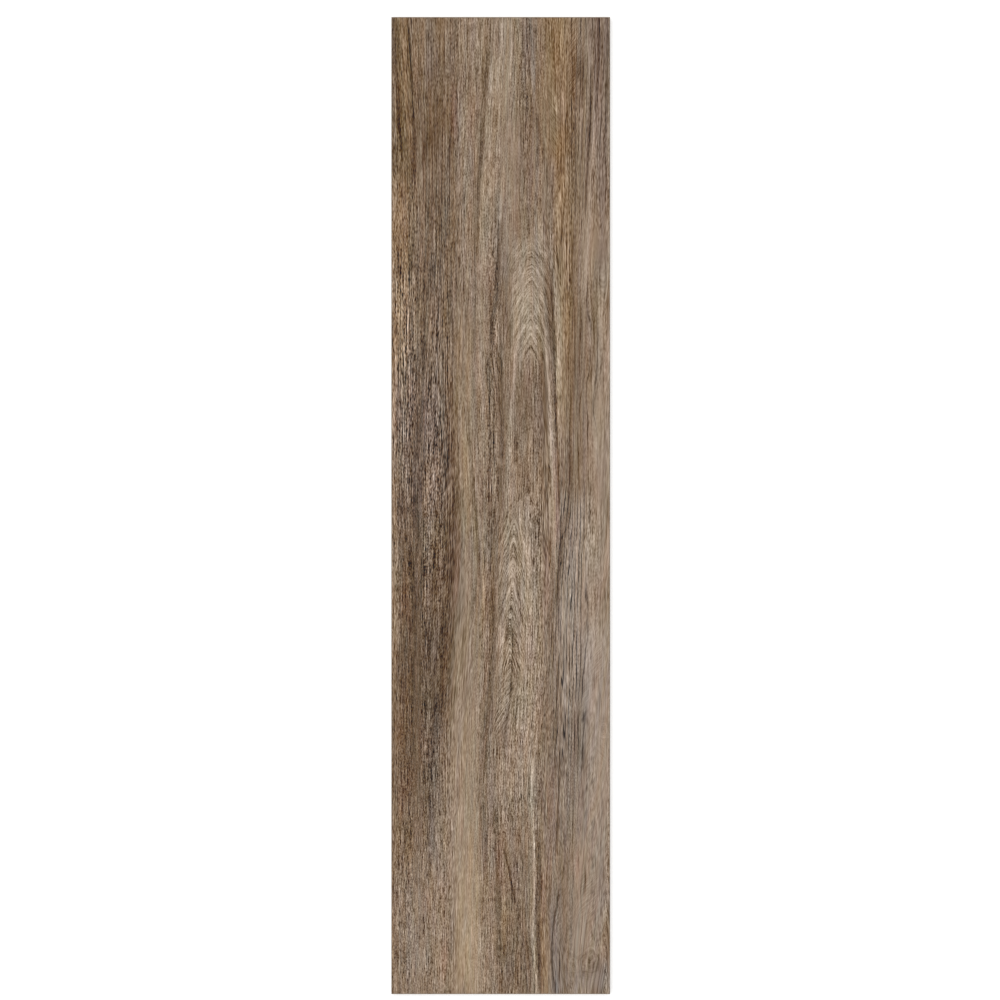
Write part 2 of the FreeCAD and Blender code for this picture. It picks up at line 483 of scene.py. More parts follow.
# Long strips: (path, half width, ink, crisp side)
STRIPS = (
    ((16, 0, 18, 40, 19, 70, 21, 110, 22, 150), 1, LINE, RIGHT),
    ((3, 0, 4, 40, 6, 80, 10, 122), 1.6, DARK, LEFT),
    ((90, 30, 87, 80, 83, 125, 80, 180, 79, 225), 1.8, DARK, RIGHT),
    ((93, 38, 92, 70, 89, 120, 86, 170, 85, 225), 4.6, PALE, LEFT),
    ((111, 25, 109, 50), 0.9, CREAM),
    ((92, 47, 90, 78), 1.6, SAND),
    ((109, 45, 106, 75, 104, 95), 1.6, PALE),
    ((107, 90, 103, 120, 100, 150, 98, 185), 1.3, DUSK, RIGHT),
    ((126, 0, 126, 50), 2, DUSK, LEFT),
    ((131, 88, 137, 112, 141, 130, 145, 150), 1.5, DARK, RIGHT),
    ((136, 160, 142, 195, 146, 225), 1.4, DUSK, RIGHT),
    ((38, 10, 38, 41), 2.2, PALE),
    ((61, 0, 61, 26), 0.8, DARK),
    ((27, 44, 27, 77), 0.8, DUSK),
    ((38, 106, 31, 122, 24, 142), 2.5, DARK, RIGHT),
    ((6, 420, 12, 460, 19, 505, 22, 560), 2, DUSK),
    ((19, 430, 25, 480, 28, 545), 2.2, DUSK),
    ((49, 560, 43, 620, 37, 690), 2.4, DUSK),
    ((44, 450, 40, 520, 34, 580, 30, 640), 2.2, DUSK),
    ((12, 425, 19, 470, 24, 520), 1.6, SAND),
    ((50, 420, 47, 480, 42, 550, 35, 620, 30, 680), 1.6, SAND),
    ((36, 420, 35, 480, 31, 540), 1.6, SAND),
    ((48, 330, 52, 380, 51, 430), 1.6, DARK),
    ((30, 300, 27, 360, 29, 420), 1.8, DARK),
    ((38, 240, 37, 310, 41, 370), 1.4, PALE),
    ((21, 225, 22, 290, 20, 350), 1.4, SAND),
    ((50, 108, 45, 135, 42, 160), 3, PALE, LEFT),
    ((39, 190, 39, 222), 0.7, CREAM),
    ((104, 139, 101, 180, 100, 215), 1.1, CREAM, RIGHT),
    ((122, 160, 123, 196), 0.8, PALE),
    ((140, 124, 145, 143), 0.9, PALE),
    ((185, 44, 183, 90, 180, 144, 178, 180), 0.9, LINE, LEFT),
    ((122, 20, 122, 60, 121, 100), 0.8, DUSK),
    ((4, 245, 4, 300, 3, 330), 0.8, PALE),
    ((10, 240, 11, 300), 0.8, PALE),
    ((15, 250, 16, 330), 0.8, PALE),
    ((127, 40, 127, 110), 0.8, DARK),
    ((186, 30, 184, 60, 181, 150, 178, 225, 177, 260), 4.5, PALE, LEFT),
    ((190, 0, 189, 50, 188, 90), 1, LINE),
    ((197, 0, 197, 70), 1, DARK),
    ((100, 190, 98, 232, 94, 264, 91, 290), 1.6, DEEP, LEFT),
    ((90, 290, 93, 315, 90, 350, 90, 450), 1.3, DARK, LEFT),
    ((92, 290, 98, 305, 102, 325, 102, 400), 1.2, DARK),
    ((84, 225, 82, 300, 84, 350, 84, 440), 4, PALE, RIGHT),
    ((139, 205, 143, 232, 146, 270, 148, 330), 2.6, DUSK, RIGHT),
    ((147, 235, 149, 290, 150, 350, 152, 400, 154, 450), 1.1, LINE),
    ((141, 288, 144, 332, 147, 380, 149, 430, 150, 505), 1.6, CREAM, RIGHT),
    ((152, 240, 153, 310, 154, 400), 2.2, PALE, LEFT),
    ((168, 262, 169, 295, 169, 335), 0.6, LINE),
    ((173, 262, 175, 282, 173, 305, 173, 333), 0.6, LINE),
    ((181, 242, 179, 266), 0.6, LINE),
    ((185, 238, 183, 255, 185, 275, 187, 292, 184, 325, 183, 336), 0.6, LINE),
    ((189, 243, 188, 261, 190, 273), 0.6, LINE),
    ((194, 310, 191, 334, 186, 351, 185, 364), 0.6, DARK),
    ((177, 338, 174, 351, 172, 364), 0.6, LINE),
    ((165, 345, 164, 385, 163, 428), 0.7, LINE),
    ((171, 383, 172, 438), 0.6, LINE),
    ((176, 395, 176, 428), 0.6, DARK),
    ((181, 408, 180, 436), 0.6, DARK),
    ((137, 285, 139, 310, 141, 340, 143, 378), 2, DARK),
    ((115, 308, 112, 350, 109, 400, 107, 445), 1.5, SAND),
    ((58, 385, 59, 450, 59, 520, 55, 570, 50, 640), 4, DUSK, RIGHT),
    ((71, 320, 74, 380, 79, 440, 83, 500, 84, 540), 1.4, SAND, LEFT),
    ((71, 380, 75, 430, 80, 485, 83, 535), 1.1, DARK, RIGHT),
    ((92, 450, 92, 540, 91, 600, 87, 660), 2.2, DARK, LEFT),
    ((101, 560, 102, 585), 2, CREAM, LEFT),
    ((165, 400, 164, 430, 161, 462), 2, DARK),
    ((160, 452, 157, 480, 154, 510, 152, 535), 2, DARK),
    ((156, 460, 155, 493, 153, 515, 153, 541), 0.8, LINE),
    ((153, 587, 152, 640, 150, 690), 0.7, LINE),
    ((110, 564, 112, 568, 111, 600, 110, 622, 105, 655), 1, LINE),
    ((116, 455, 121, 478, 125, 495, 127, 515), 0.9, CREAM),
    ((106, 553, 104, 575, 104, 600), 1.2, DARK, LEFT),
    ((130, 675, 128, 720, 130, 742, 132, 770, 132, 809, 130, 846, 132, 873, 134, 898), 1.2,
     CREAM),
    ((129, 735, 132, 772, 132, 815), 1.1, PALE),
    ((135, 750, 136, 800, 135, 846, 137, 898), 2.2, DARK, LEFT),
    ((155, 675, 153, 735, 152, 768), 0.9, LINE),
    ((169, 675, 167, 705, 167, 750), 0.7, DARK),
    ((176, 678, 175, 693), 0.6, LINE),
    ((178, 784, 179, 800), 0.7, LINE),
    ((174, 804, 175, 821), 0.6, DARK),
    ((184, 811, 181, 826), 0.6, DARK),
    ((190, 790, 186, 808), 0.6, DARK),
    ((161, 775, 158, 790, 155, 800), 0.6, DARK),
    ((163, 835, 158, 855, 157, 875, 161, 898), 0.8, DUSK),
    ((197, 845, 199, 865, 198, 885), 0.8, DUSK),
    ((155, 803, 150, 830, 147, 853, 148, 883, 152, 898), 0.9, DEEP),
    ((149, 785, 146, 805, 144, 820), 1, DARK),
    ((97, 745, 98, 800, 100, 898), 2.4, DUSK),
    ((103, 765, 107, 779, 110, 794, 112, 807, 115, 815), 0.8, CRACK),
    ((102, 800, 104, 838), 2.2, PALE, LEFT),
)

# Short strokes, drawn like the strips
STROKES = (
    ((117, 226, 114, 242), 0.9, DARK),
    ((117, 226, 122, 232), 0.9, DARK),
    ((125, 222, 122, 232), 0.9, DARK),
    ((148, 71, 151, 74, 153, 80, 152, 88), 0.7, CHALK),
    ((155, 146, 158, 150, 160, 156, 159, 161), 0.7, CHALK),
    ((153, 161, 155, 167, 157, 174), 0.8, CHALK),
    ((166, 62, 170, 52, 173, 44), 0.9, DEEP),
    ((176, 66, 177, 54, 178, 44), 0.9, DEEP),
    ((170, 70, 171, 60), 0.8, DEEP),
    ((161, 606, 162, 612), 0.8, CREAM),
    ((187, 534, 189, 541), 0.9, DARK),
    ((183, 546, 184, 554), 0.9, DARK),
    ((194, 552, 195, 570), 1.1, DUSK),
    ((191, 586, 193, 596), 1.1, DUSK),
    ((186, 606, 187, 614), 0.9, DARK),
    ((188, 628, 190, 640), 0.9, DARK),
    ((192, 668, 194, 680), 0.9, DARK),
    ((185, 700, 186, 712), 0.9, DARK),
    ((195, 716, 196, 728), 0.9, DARK),
    ((181, 864, 182, 872), 1.2, DEEP),
    ((186, 868, 185, 876), 0.9, LINE),
    ((168, 862, 166, 872, 168, 882), 0.9, DARK),
    ((190, 858, 192, 868, 190, 878), 0.9, DARK),
    ((176, 872, 178, 880, 184, 885), 0.9, DARK),
)

# How much longer the fibres' streaks are than the average: (path, half width, change, crispness)
STRETCH_BANDS = (
    ((28, 0, 28, 200, 28, 440), 34, (0.5, 0.4, 0.3), 4),
    ((184, 0, 180, 240), 24, 0.8, 4),
    ((152, 0, 156, 240), 12, 0.3, 4),
    ((184, 270, 176, 440, 168, 670), 22, 0.5, 4),
    ((110, 720, 110, 898), 36, -0.25, 4),
    ((194, 500, 188, 720, 182, 898), 16, -0.45, 4),
    ((24, 640, 24, 898), 26, -0.15, 4),
)

# How strongly the long streaks show, written the same way
STREAK_BANDS = (
    ((26, 100, 28, 400, 26, 700), 32, (0.2, 0.3, 0), 4),
    ((68, 560, 68, 898), 12, -0.4, 3),
    ((190, 560, 185, 750, 180, 898), 20, -0.5, 4),
    ((122, 210, 121, 310), 12, -0.3, 3),
    ((98, 250, 98, 450), 8, 0.4),
    ((150, 200, 152, 420), 12, 0.4, 3),
    ((172, 440, 168, 660), 18, -0.75, 4),
    ((138, 760, 138, 898), 12, 0.5, 3),
)

# How strongly the fine dark and pale lines side by side show
COMB_BANDS = (
    ((10, 200, 12, 330), 12, 1, 3),
    ((26, 300, 26, 440), 28, 1.3, 4),
    ((26, 440, 24, 600), 24, 0.3, 4),
    ((12, 0, 14, 130), 12, 0.6, 4),
    ((192, 450, 186, 700, 182, 898), 20, -0.3, 4),
)

# How strongly the thin dark veins show
VEIN_BANDS = (
    ((180, 0, 178, 130), 26, 0.75, 3),
    ((180, 240, 176, 400), 14, 0.5, 4),
    ((166, 430, 164, 560, 161, 680), 15, (1.5, 2.1, 1.8), 6),
    ((176, 700, 174, 800, 176, 898), 24, 0.25, 4),
    ((42, 140, 42, 340), 14, 0.7, 3),
    ((22, 440, 24, 600), 18, 0.4, 3),
    ((110, 0, 108, 110), 18, 0.4, 3),
    ((98, 300, 98, 500), 9, 0.6, 3),
    ((125, 780, 126, 898), 22, 0.5, 3),
)


def between_ends(path, v, fade):
    """1 between the path's ends and 0 past them, with no end where the plank itself ends."""
    first, last = path[1], path[-1]
    start = 1.0 if first <= 0 else ramp(v, first - fade, first + fade)
    end = 1.0 if last >= LENGTH else 1 - ramp(v, last - fade, last + fade)
    return start * end


def paint(u, v, bands, level=0.0, fade=12.0):
    """Adds every band to a level field."""
    field = np.full_like(u, level)
    for path, half_width, strength, *crispness in bands:
        if isinstance(strength, tuple):
            strength = follow(path, v, strength)
        apart = np.abs(u - follow(path, v)) / half_width
        profile = np.exp(-(apart ** (crispness[0] if crispness else SOFT)))
        field = field + strength * between_ends(path, v, fade) * profile
    return field


# Between these shares of a strip's half width its sides fade out
CRISP_SIDE = (0.6, 1.3)
SOFT_SIDE = (0.2, 2.4)


def paint_strips(u, v, strips, fade=10.0):
    """Adds up the strips. One that is crisp on one side fades out on the other."""
    field = np.zeros_like(u)
    for path, half_width, ink, *side in strips:
        apart = (u - follow(path, v)) / half_width
        crisp = 1 - ramp(np.abs(apart), *CRISP_SIDE)
        soft = 1 - ramp(np.abs(apart), *SOFT_SIDE)
        profile = np.where(apart * side[0] >= 0, crisp, soft) if side else crisp
        field = field + ink * between_ends(path, v, fade) * profile
    return field


# How the print's lines sway sideways and lengthwise: reach, width and length in millimetres, and seed
SIDE_SWAY = ((0.8, 22, 90, 1), (0.2, 8, 40, 2))
LONG_SWAY = ((9, 6, 90, 3),)

# Lightness of the bare ground, in 8-bit steps
GROUND = 120.0

# Length of the fibres' streaks, and strength of the long streaks, before their bands
STRETCH = 0.82
STREAKING = 0.8

# The long streaks: their width and length in millimetres, and their seed. Each is worth this much lightness.
LONG_STREAKS = ((6.5, 190, 11), (3.0, 140, 12))
STREAK_TONE = 9

# Fields that hold only bands: (bands, level before them, fade of their ends)
BAND_FIELDS = {
    "warmth": (WARM_BANDS, 0.0, 12.0),
    "rose": (ROSE_BANDS, 0.0, 12.0),
    "bite": (BITE_BANDS, 1.0, 12.0),
    "vein": (VEIN_BANDS, 0.15, 25.0),
    "comb": (COMB_BANDS, 0.5, 25.0),
}


def sway(u, v, sways):
    return sum(reach * value_noise(u, v, *noise) for reach, *noise in sways)


def grain_fields(u, v):
    """Everything the print reads at each point of the face."""
    sway_u = u + sway(u, v, SIDE_SWAY)
    sway_v = v + sway(u, v, LONG_SWAY)
    across = part_around_knots(u, v, flow_across(sway_u, v))
    stretch = paint(u, v, STRETCH_BANDS, STRETCH, fade=40.0)
    along = np.cumsum(1 / stretch, axis=0) * LENGTH / FACE_ROWS + sway_v - v
    arch_across, arch_along, arch = cathedral(u, v)
    tone = paint(sway_u, sway_v, TONE_BANDS, GROUND)
    tone += LINE_STRENGTH * paint(sway_u, v, LINES, fade=6.0)
    tone += paint_strips(sway_u, v, STRIPS) + paint_strips(u, v, STROKES, fade=2.5)
    long_streaks = sum(streaks(across, v, *given) for given in LONG_STREAKS)
    tone += STREAK_TONE * paint(sway_u, sway_v, STREAK_BANDS, STREAKING) * long_streaks
    fields = {
        "grain": np.stack([across, along, v], -1),
        "arches": np.stack([arch_across, arch_along, np.zeros_like(u)], -1),
        "arch": arch,
        "lean": (1 - arch) * np.clip(paint(u, v, LEAN_BANDS), -1, 1),
        "tone": tone / 255,
    }
    for name, given in BAND_FIELDS.items():
        fields[name] = paint(sway_u, sway_v, *given)
    fields["comb"] *= 1 - arch
    return fields


# The mesh


def pocket_lines(side, count):
    """Where the border, pockets and ribs of the back meet along one side, in millimetres."""
    size = (side - 2 * BACK_BORDER - (count - 1) * RIB) / count
    lines = [-side / 2]
    for number in range(count):
        start = -side / 2 + BACK_BORDER + number * (size + RIB)
        lines += [start, start + size]
    return lines + [side / 2]


def rounded_outline(box, inset, z):
    """Anticlockwise points of a box with round corners, drawn in by inset, first corner lower left."""
    radius = max(POCKET_CORNER - inset, SMALLEST_CORNER)
    left, right, near, far = (side + way * (inset + radius) for side, way in zip(box, (1, -1, 1, -1)))
    points = []
    for x, y, start in ((left, near, 180), (right, near, 270), (right, far, 0), (left, far, 90)):
        for step in range(CORNER_STEPS + 1):
            angle = math.radians(start + 90 * step / CORNER_STEPS)
            points.append((x + radius * math.cos(angle), y + radius * math.sin(angle), z))
    return points


def face_grid():
    """The walking face's points: x and y of the grid, with the far row first."""
    inner_x, inner_y = WIDTH / 2 - ARRIS, LENGTH / 2 - ARRIS
    x = np.linspace(-inner_x, inner_x, FACE_COLUMNS + 1)
    y = np.linspace(inner_y, -inner_y, FACE_ROWS + 1)
    return np.meshgrid(x, y)


class Shell:
    """Points and faces of the tile, each face with its zone."""

    def __init__(self):
        self.points = []
        self.faces = []
        self.zones = []

    def add_points(self, points):
        start = len(self.points)
        self.points.extend(points)
        return list(range(start, len(self.points)))

    def add_face(self, corners, zone):
        self.faces.append(corners)
        self.zones.append(zone)


FACE, EDGE, BACK = 0, 1, 2


def perimeter(rows, columns):
    """Grid places round the edge, anticlockwise seen from above, from the near left corner."""
    near = [(rows, i) for i in range(columns)]
    right = [(j, columns) for j in range(rows, 0, -1)]
    far = [(0, i) for i in range(columns, 0, -1)]
    left = [(j, 0) for j in range(rows)]
    return near + right + far + left


def build_shell(relief):
    """One closed surface: the face, its arris, the ground edges and the ribbed back."""
    shell = Shell()
    x, y = face_grid()
    z = THICKNESS - relief
    top = shell.add_points(np.stack([x, y, z], -1).reshape(-1, 3).tolist())
    top = np.array(top).reshape(FACE_ROWS + 1, FACE_COLUMNS + 1)
    for j in range(FACE_ROWS):
        for i in range(FACE_COLUMNS):
            shell.add_face((top[j + 1, i], top[j + 1, i + 1], top[j, i + 1], top[j, i]), FACE)

    # the face's rim, and the same points moved out and down to the foot of the arris
    rim = perimeter(FACE_ROWS, FACE_COLUMNS)
    x[:, [0, -1]] *= WIDTH / 2 / x.max()
    y[[0, -1]] *= LENGTH / 2 / y.max()
    ground = [(x[place], y[place], THICKNESS - ARRIS) for place in rim]
    outer = shell.add_points(ground)
    for k in range(len(rim)):
        shell.add_face((outer[k - 1], outer[k], top[rim[k]], top[rim[k - 1]]), EDGE)

    lines_x = pocket_lines(WIDTH, POCKET_COLUMNS)
    lines_y = pocket_lines(LENGTH, POCKET_ROWS)
    columns, rows = len(lines_x) - 1, len(lines_y) - 1
    back = shell.add_points([(px, py, 0.0) for py in lines_y for px in lines_x])
    back = np.array(back).reshape(rows + 1, columns + 1)
    add_sides(shell, outer, np.array(ground), back)
    for j in range(rows):
        for i in range(columns):
            cell = (back[j, i], back[j + 1, i], back[j + 1, i + 1], back[j, i + 1])
            if i % 2 and j % 2:
                add_pocket(shell, cell, (*lines_x[i : i + 2], *lines_y[j : j + 2]))
            else:
                shell.add_face(cell, BACK)
    return shell


def add_sides(shell, outer, ground, back):
    """Flat faces from the arris down to the back, one for each part of the back's outline."""
    rows, columns = back.shape
    from_far = back[::-1]
    foot = [from_far[place] for place in perimeter(rows - 1, columns - 1)]
    spots = np.array(shell.points)[foot, :2]
    above = [int(np.argmin(((ground[:, :2] - spot) ** 2).sum(1))) for spot in spots]
    count = len(outer)
    for k, start in enumerate(above):
        n = (k + 1) % len(foot)
        span = (above[n] - start) % count
        upper = [outer[(start + step) % count] for step in range(span, -1, -1)]
        shell.add_face((foot[k], foot[n], *upper), EDGE)


def add_pocket(shell, cell, box):
    """A pocket with round corners and drafted walls, sunk into one cell of the back."""
    mouth = shell.add_points(rounded_outline(box, POCKET_LIP, 0.0))
    floor = shell.add_points(rounded_outline(box, POCKET_LIP + POCKET_DEPTH, POCKET_DEPTH))
    # the cell's corners the other way round, as the outlines run
    corners = (cell[0], *cell[:0:-1])
    for k, corner in enumerate(corners):
        first = k * (CORNER_STEPS + 1)
        last = first + CORNER_STEPS
        for step in range(first, last):
            shell.add_face((corner, mouth[step], mouth[step + 1]), BACK)
        after = (last + 1) % len(mouth)
        shell.add_face((corner, mouth[last], mouth[after], corners[(k + 1) % 4]), BACK)
    for k in range(len(mouth)):
        shell.add_face((mouth[k - 1], floor[k - 1], floor[k], mouth[k]), BACK)
    shell.add_face(tuple(reversed(floor)), BACK)


def build_tile(fields, relief):
    """The tile's mesh, with the grain's fields, its sharp edges and its map."""
    shell = build_shell(relief)
    mesh = bpy.data.meshes.new("printed_tile")
    points = np.array(shell.points) * MM
    mesh.from_pydata(points.tolist(), [], [tuple(int(c) for c in face) for face in shell.faces])
    zones = np.array(shell.zones)
    mesh.polygons.foreach_set("material_index", zones)
    mesh.polygons.foreach_set("use_smooth", zones == FACE)
    mark_sharp_edges(mesh, zones)
    for name, values in fields.items():
        write_attribute(mesh, name, values, len(shell.points))
    write_map(mesh, zones)
    return mesh


def write_attribute(mesh, name, values, count):
    """Stores one field on the face and on the arris below its rim. The rest stays plain."""
    kind, part = ("FLOAT_VECTOR", "vector") if values.ndim == 3 else ("FLOAT", "value")
    rim = np.array([values[place] for place in perimeter(FACE_ROWS, FACE_COLUMNS)])
    known = np.concatenate([values.ravel(), rim.ravel()])
    data = np.zeros(count * values[0, 0].size)
    data[: len(known)] = known
    mesh.attributes.new(name, kind, "POINT").data.foreach_set(part, data)


def mark_sharp_edges(mesh, zones):
    """Keeps the smooth face's shading from running over the arris."""
    seen = {}
    for polygon in mesh.polygons:
        for key in polygon.edge_keys:
            seen.setdefault(key, set()).add(int(zones[polygon.index]))
    sharp = [len(seen[tuple(sorted(edge.vertices))]) > 1 for edge in mesh.edges]
    mesh.attributes.new("sharp_edge", "BOOLEAN", "EDGE").data.foreach_set("value", sharp)


# The map's margin at both ends, and the height of the middle of its two short strips
MAP_MARGIN = 0.004
SHORT_STRIPS = 0.12


def write_map(mesh, zones):
    """Lays the tile out as upright strips: the face widest, then the back and the four edges."""
    corners = len(mesh.loops)
    vertex = np.zeros(corners, int)
    mesh.loops.foreach_get("vertex_index", vertex)
    position = np.zeros(len(mesh.vertices) * 3)
    mesh.vertices.foreach_get("co", position)
    position = position.reshape(-1, 3)[vertex] / MM
    polygon = np.repeat(np.arange(len(mesh.polygons)), [p.loop_total for p in mesh.polygons])
    normals = np.array([p.normal for p in mesh.polygons])[polygon]
    facing_x, facing_y, facing_z = normals.T
    zone = zones[polygon]
    across, along = position[:, 0] / WIDTH + 0.5, position[:, 1] / LENGTH + 0.5
    height = position[:, 2] / THICKNESS
    ends = position[:, 0] / LENGTH + SHORT_STRIPS
    upright = np.abs(facing_z) < 0.1
    edge = upright & (zone == EDGE)
    uv = np.zeros((corners, 2))
    # each strip: its corners of the mesh, its left and right side on the map, and what runs across and up it
    for mask, left, right, x, y in (
        ((zone != BACK) & ~upright, MAP_MARGIN, 0.78, across, along),
        (zone == BACK, 0.79, 0.925, across, along),
        (edge & (facing_x > 0.5), 0.932, 0.944, height, along),
        (edge & (facing_x < -0.5), 0.95, 0.962, height, along),
        (edge & (facing_y > 0.5), 0.968, 0.98, height, ends),
        (edge & (facing_y < -0.5), 0.986, 0.998, height, ends),
    ):
        uv[mask, 0] = left + (right - left) * x[mask]
        uv[mask, 1] = MAP_MARGIN + (1 - 2 * MAP_MARGIN) * y[mask]
    mesh.uv_layers.new(name="OFBake").data.foreach_set("uv", uv.ravel())


# Materials


# The sRGB curve's two numbers, above its short straight start
SRGB_OFFSET = 0.055
SRGB_POWER = 2.4


def linear(*colour):
    """A colour written as 8-bit sRGB, as the shader's linear numbers."""
    return tuple(((c / 255 + SRGB_OFFSET) / (1 + SRGB_OFFSET)) ** SRGB_POWER for c in colour)


# How far one noise lies from the next along the grain, for each step of its shift
SHIFT_ALONG = 1.7


class Graph:
    """The nodes of a new material or world. Most calls return an output socket to link on."""

    def __init__(self, owner, shader="Principled BSDF"):
        owner.use_nodes = True
        self.owner = owner
        self.tree = owner.node_tree
        self.shader = self.tree.nodes[shader]

    def put(self, socket, value):
        """Links an input to another node's output, or sets its number."""
        if isinstance(value, bpy.types.NodeSocket):
            self.tree.links.new(value, socket)
        else:
            socket.default_value = value

    def shade(self, sockets):
        """Puts values into the shader's own inputs."""
        for name, value in sockets.items():
            self.put(self.shader.inputs[name], value)

    def node(self, kind, sockets=None, **settings):
        """A new node with these settings, and with these values in its inputs."""
        node = self.tree.nodes.new("ShaderNode" + kind)
        for key, value in settings.items():
            setattr(node, key, value)
        for key, value in (sockets or {}).items():
            self.put(node.inputs[key], value)
        return node

    def math(self, operation, *values):
        return self.node("Math", dict(enumerate(values)), operation=operation).outputs[0]

    def vector(self, operation, *values):
        return self.node("VectorMath", dict(enumerate(values)), operation=operation).outputs[0]

    def times(self, a, b):
        return self.math("MULTIPLY", a, b)

    def mix(self, start, *parts):
        """The start, with each part added at its own strength."""
        for part, strength in parts:
            start = self.math("MULTIPLY_ADD", part, strength, start)
        return start

    def step(self, value, start, end):
        """0 below start and 1 above end, smooth between."""
        sockets = {"Value": value, "From Min": start, "From Max": end}
        return self.node("MapRange", sockets, interpolation_type="SMOOTHSTEP").outputs["Result"]

    def field(self, name, part="Fac"):
        return self.node("Attribute", attribute_name=name).outputs[part]

    def noise(self, lines, wide, long, shift=0.0, detail=0.0, roughness=0.5):
        """Noise about 0, whose features measure wide across and long along the given lines."""
        shifts = (shift, shift * SHIFT_ALONG, 0)
        place = self.vector("MULTIPLY_ADD", lines, (1 / wide, 1 / long, 0), shifts)
        sockets = {"Vector": place, "Scale": 1.0, "Detail": detail, "Roughness": roughness}
        texture = self.node("TexNoise", sockets, noise_dimensions="2D")
        return self.math("SUBTRACT", texture.outputs["Fac"], 0.5)

    def place(self):
        """A point of the tile's own space, in metres."""
        return self.node("TexCoord").outputs["Object"]

    def clouds(self, per_metre, detail=2.0):
        """Noise about 0 that runs through the body, with so many features to the metre each way."""
        place = self.vector("MULTIPLY", self.place(), per_metre)
        texture = self.node("TexNoise", {"Vector": place, "Scale": 1.0, "Detail": detail})
        return self.math("SUBTRACT", texture.outputs["Fac"], 0.5)

    def finish(self, colour, roughness, specular, height, depth, strength):
        """Puts the looks into the shader, with the height as a bump of some millimetres' depth."""
        sockets = {"Height": height, "Distance": depth * MM, "Strength": strength}
        normal = self.node("Bump", sockets).outputs["Normal"]
        self.shade({"Base Color": colour, "Roughness": roughness, "Specular IOR Level": specular})
        self.shade({"Normal": normal})
        return self.owner


# The print's inks: what each adds to its lightness, in display red, green and blue
TAUPE = (0.0623, -0.0152, -0.0885)
WARMER = (0.0220, -0.0040, -0.0380)
ROSIER = (0.0125, -0.0062, 0.0)

# What the studio gives a white face, what the glaze's sheen adds to it, and the darkest ink
LIGHT = 0.974
SHEEN = 0.015
DARKEST = 0.002

# Dark fibres stand out more than pale ones, and the whole print is lifted by as much as that takes
SKEW = 0.8
LIFT = 0.013

# What the pores, veins and combed lines add to the lightness where they are at full strength
PORE = -0.04
VEIN = -0.21
COMB = 0.09

# How strongly the fibres and the narrow and broad rings show in the figures
FIBRE_IN_ARCHES = 0.55
RING = 0.41
BROAD_RING = 0.16

# How far the colour drifts along the grain, and how much cooler than the ground a vein is
WARM_DRIFT = 1.4
ROSE_DRIFT = 1.7
VEIN_WARMTH = -0.7

# The average spacing of the hairlines and of the comb's lines, in millimetres
HAIRLINE_STEP = 3.7
COMB_STEP = 2.3

# A fibre leans this many millimetres sideways for each one along, where the figure leans
LEAN = 0.42

# The fibres' dashes, streaks and threads: width and length in millimetres, shift and strength
FIBRES = (
    (0.44, 2.6, 0.0, 0.42),
    (0.46, 9.0, 11.0, 0.46),
    (0.50, 42.0, 17.0, 0.47),
)


def wood_fibre(g, lines, shift):
    """Fine streaks and dashes along the given lines: their tone about 0, and the dark pores from 0 to 1."""
    tone = 0.0
    for wide, long, own_shift, strength in FIBRES:
        tone = g.mix(tone, (g.noise(lines, wide, long, shift + own_shift), strength))
    vessels = g.noise(lines, 0.6, 11.0, shift + 37.0)
    return tone, g.step(vessels, 0.12, 0.26)


def wandering(g, lines, wide, long, reach, shift):
    """The coordinate across the grain, in millimetres, swaying sideways along its length."""
    across = g.node("SeparateXYZ", {0: lines}).outputs["X"]
    return g.mix(across, (g.noise(lines, wide, long, shift, detail=2.0, roughness=0.45), reach))


def combed(g, lines):
    """Fine dark and pale lines side by side, in patches: a wave from -1 to 1."""
    phase = g.times(wandering(g, lines, wide=9, long=70, reach=6, shift=91), 2 * math.pi / COMB_STEP)
    patches = g.step(g.noise(lines, 2.2, 17.0, 97.0), -0.15, 0.25)
    return g.times(g.math("SINE", phase), patches)


def hairlines(g, lines):
    """Thin lines along the grain, some millimetres apart, worn away in places: 1 on a line, 0 beside it."""
    across = wandering(g, lines, wide=20, long=48, reach=6, shift=29)
    phase = g.math("FRACT", g.times(across, 1 / HAIRLINE_STEP))
    apart = g.math("ABSOLUTE", g.math("SUBTRACT", phase, 0.5))
    line = g.math("SUBTRACT", 1.0, g.step(apart, 0.03, 0.15))
    unworn = g.step(g.noise(lines, 3.0, 24.0, 47.0), -0.3, 0.05)
    return g.times(line, unworn)


def leaning(g, lines, slope):
    """The same lines, leaning sideways by slope. Their third number is the plain distance along the plank."""
    parts = g.node("SeparateXYZ", {0: lines}).outputs
    across = g.mix(parts["X"], (parts["Z"], slope))
    return g.node("CombineXYZ", {"X": across, "Y": parts["Z"]}).outputs[0]


